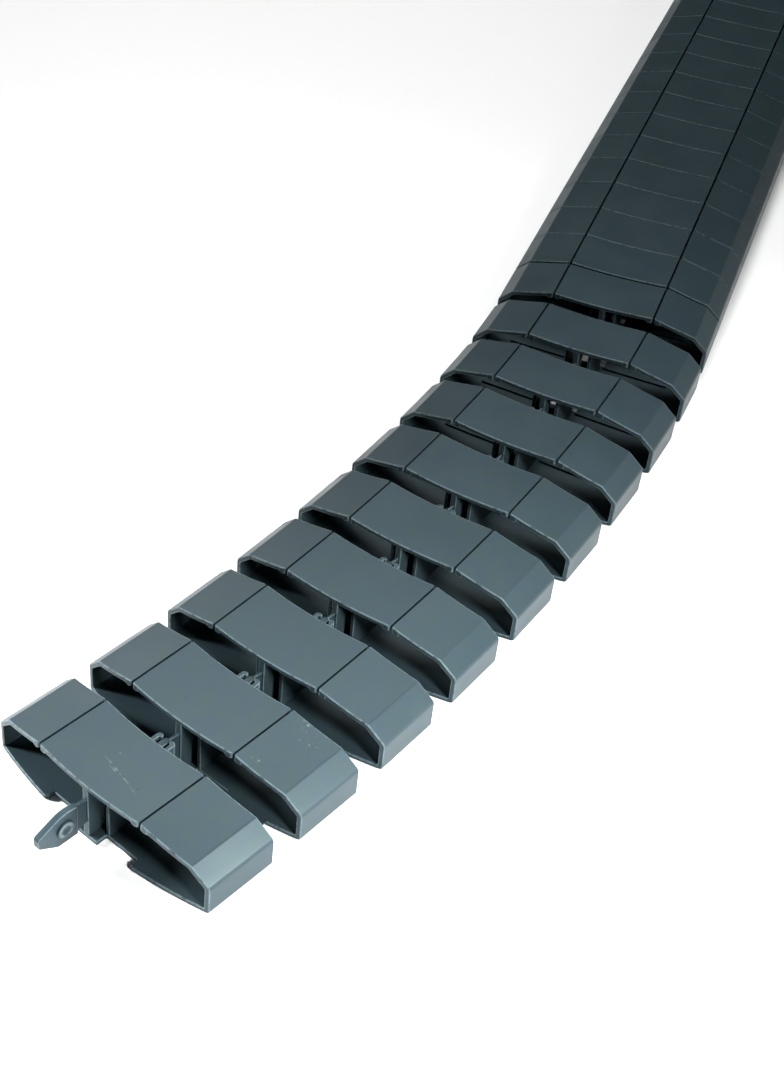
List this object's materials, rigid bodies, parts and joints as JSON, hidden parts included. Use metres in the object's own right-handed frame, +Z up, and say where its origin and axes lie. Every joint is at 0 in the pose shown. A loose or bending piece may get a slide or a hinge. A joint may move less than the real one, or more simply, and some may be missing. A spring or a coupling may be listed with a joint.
{
  "type": "flexible cable cover",
  "caption": "Flexible floor cable cover: a chain of hinged two-chamber plastic links, slit along the top so cables press in, partly pulled out and gently curved.",
  "frame": {"origin": "middle of the part's bounding box, on the floor it lies on", "axes": "+Y along the straight closed stretch, away from the near end that shows its tongue; +X to the right of it; +Z up from the floor"},
  "size_m": [0.141, 0.792, 0.0203],
  "materials": {
    "grey_plastic": "satin"
  },
  "bodies": {
    "link_01": {"link_01": "grey_plastic"},
    "link_02": {"link_02": "grey_plastic"},
    "link_03": {"link_03": "grey_plastic"},
    "link_04": {"link_04": "grey_plastic"},
    "link_05": {"link_05": "grey_plastic"},
    "link_06": {"link_06": "grey_plastic"},
    "link_07": {"link_07": "grey_plastic"},
    "link_08": {"link_08": "grey_plastic"},
    "link_09": {"link_09": "grey_plastic"},
    "link_10": {"link_10": "grey_plastic"},
    "link_11": {"link_11": "grey_plastic"},
    "link_12": {"link_12": "grey_plastic"},
    "link_13": {"link_13": "grey_plastic"},
    "link_14": {"link_14": "grey_plastic"},
    "link_15": {"link_15": "grey_plastic"},
    "link_16": {"link_16": "grey_plastic"},
    "link_17": {"link_17": "grey_plastic"},
    "link_18": {"link_18": "grey_plastic"},
    "link_19": {"link_19": "grey_plastic"},
    "link_20": {"link_20": "grey_plastic"},
    "link_21": {"link_21": "grey_plastic"},
    "link_22": {"link_22": "grey_plastic"},
    "link_23": {"link_23": "grey_plastic"},
    "link_24": {"link_24": "grey_plastic"},
    "link_25": {"link_25": "grey_plastic"},
    "link_26": {"link_26": "grey_plastic"},
    "link_27": {"link_27": "grey_plastic"},
    "link_28": {"link_28": "grey_plastic"},
    "link_29": {"link_29": "grey_plastic"},
    "link_30": {"link_30": "grey_plastic"}
  },
  "joints": [
    {"name": "turn_01_02", "type": "hinge", "parent": "link_01", "child": "link_02", "pos_m": [-0.02602, -0.35764, 0.0107], "axis": [0, 0, 1], "range_deg": [-6.35, 3.65]},
    {"name": "turn_02_03", "type": "hinge", "parent": "link_02", "child": "link_03", "pos_m": [-0.01461, -0.32721, 0.0107], "axis": [0, 0, 1], "range_deg": [-7.4, 2.6]},
    {"name": "turn_03_04", "type": "hinge", "parent": "link_03", "child": "link_04", "pos_m": [-0.00449, -0.29632, 0.0107], "axis": [0, 0, 1], "range_deg": [-7.05, 2.95]},
    {"name": "turn_04_05", "type": "hinge", "parent": "link_04", "child": "link_05", "pos_m": [0.00447, -0.26529, 0.0107], "axis": [0, 0, 1], "range_deg": [-7.1, 2.9]},
    {"name": "turn_05_06", "type": "hinge", "parent": "link_05", "child": "link_06", "pos_m": [0.01226, -0.23405, 0.0107], "axis": [0, 0, 1], "range_deg": [-7.2, 2.8]},
    {"name": "turn_06_07", "type": "hinge", "parent": "link_06", "child": "link_07", "pos_m": [0.01893, -0.20214, 0.0107], "axis": [0, 0, 1], "range_deg": [-7, 3]},
    {"name": "turn_07_08", "type": "hinge", "parent": "link_07", "child": "link_08", "pos_m": [0.02437, -0.1706, 0.0107], "axis": [0, 0, 1], "range_deg": [-7.65, 2.35]},
    {"name": "turn_08_09", "type": "hinge", "parent": "link_08", "child": "link_09", "pos_m": [0.02836, -0.13885, 0.0107], "axis": [0, 0, 1], "range_deg": [-8.65, 1.35]},
    {"name": "turn_09_10", "type": "hinge", "parent": "link_09", "child": "link_10", "pos_m": [0.03027, -0.10751, 0.0107], "axis": [0, 0, 1], "range_deg": [-8.5, 1.5]},
    {"name": "pull_10_11", "type": "slide", "parent": "link_10", "child": "link_11", "axis": [0, 1, 0], "range_m": [-0.001, 0.0083]},
    {"name": "pull_11_12", "type": "slide", "parent": "link_11", "child": "link_12", "axis": [0, 1, 0], "range_m": [0, 0.0093]},
    {"name": "pull_12_13", "type": "slide", "parent": "link_12", "child": "link_13", "axis": [0, 1, 0], "range_m": [0, 0.0093]},
    {"name": "pull_13_14", "type": "slide", "parent": "link_13", "child": "link_14", "axis": [0, 1, 0], "range_m": [0, 0.0093]},
    {"name": "pull_14_15", "type": "slide", "parent": "link_14", "child": "link_15", "axis": [0, 1, 0], "range_m": [0, 0.0093]},
    {"name": "pull_15_16", "type": "slide", "parent": "link_15", "child": "link_16", "axis": [0, 1, 0], "range_m": [0, 0.0093]},
    {"name": "pull_16_17", "type": "slide", "parent": "link_16", "child": "link_17", "axis": [0, 1, 0], "range_m": [0, 0.0093]},
    {"name": "pull_17_18", "type": "slide", "parent": "link_17", "child": "link_18", "axis": [0, 1, 0], "range_m": [0, 0.0093]},
    {"name": "pull_18_19", "type": "slide", "parent": "link_18", "child": "link_19", "axis": [0, 1, 0], "range_m": [0, 0.0093]},
    {"name": "pull_19_20", "type": "slide", "parent": "link_19", "child": "link_20", "axis": [0, 1, 0], "range_m": [0, 0.0093]},
    {"name": "pull_20_21", "type": "slide", "parent": "link_20", "child": "link_21", "axis": [0, 1, 0], "range_m": [0, 0.0093]},
    {"name": "pull_21_22", "type": "slide", "parent": "link_21", "child": "link_22", "axis": [0, 1, 0], "range_m": [0, 0.0093]},
    {"name": "pull_22_23", "type": "slide", "parent": "link_22", "child": "link_23", "axis": [0, 1, 0], "range_m": [0, 0.0093]},
    {"name": "pull_23_24", "type": "slide", "parent": "link_23", "child": "link_24", "axis": [0, 1, 0], "range_m": [0, 0.0093]},
    {"name": "pull_24_25", "type": "slide", "parent": "link_24", "child": "link_25", "axis": [0, 1, 0], "range_m": [0, 0.0093]},
    {"name": "pull_25_26", "type": "slide", "parent": "link_25", "child": "link_26", "axis": [0, 1, 0], "range_m": [0, 0.0093]},
    {"name": "pull_26_27", "type": "slide", "parent": "link_26", "child": "link_27", "axis": [0, 1, 0], "range_m": [0, 0.0093]},
    {"name": "pull_27_28", "type": "slide", "parent": "link_27", "child": "link_28", "axis": [0, 1, 0], "range_m": [0, 0.0093]},
    {"name": "pull_28_29", "type": "slide", "parent": "link_28", "child": "link_29", "axis": [0, 1, 0], "range_m": [0, 0.0093]},
    {"name": "pull_29_30", "type": "slide", "parent": "link_29", "child": "link_30", "axis": [0, 1, 0], "range_m": [0, 0.0093]}
  ]
}
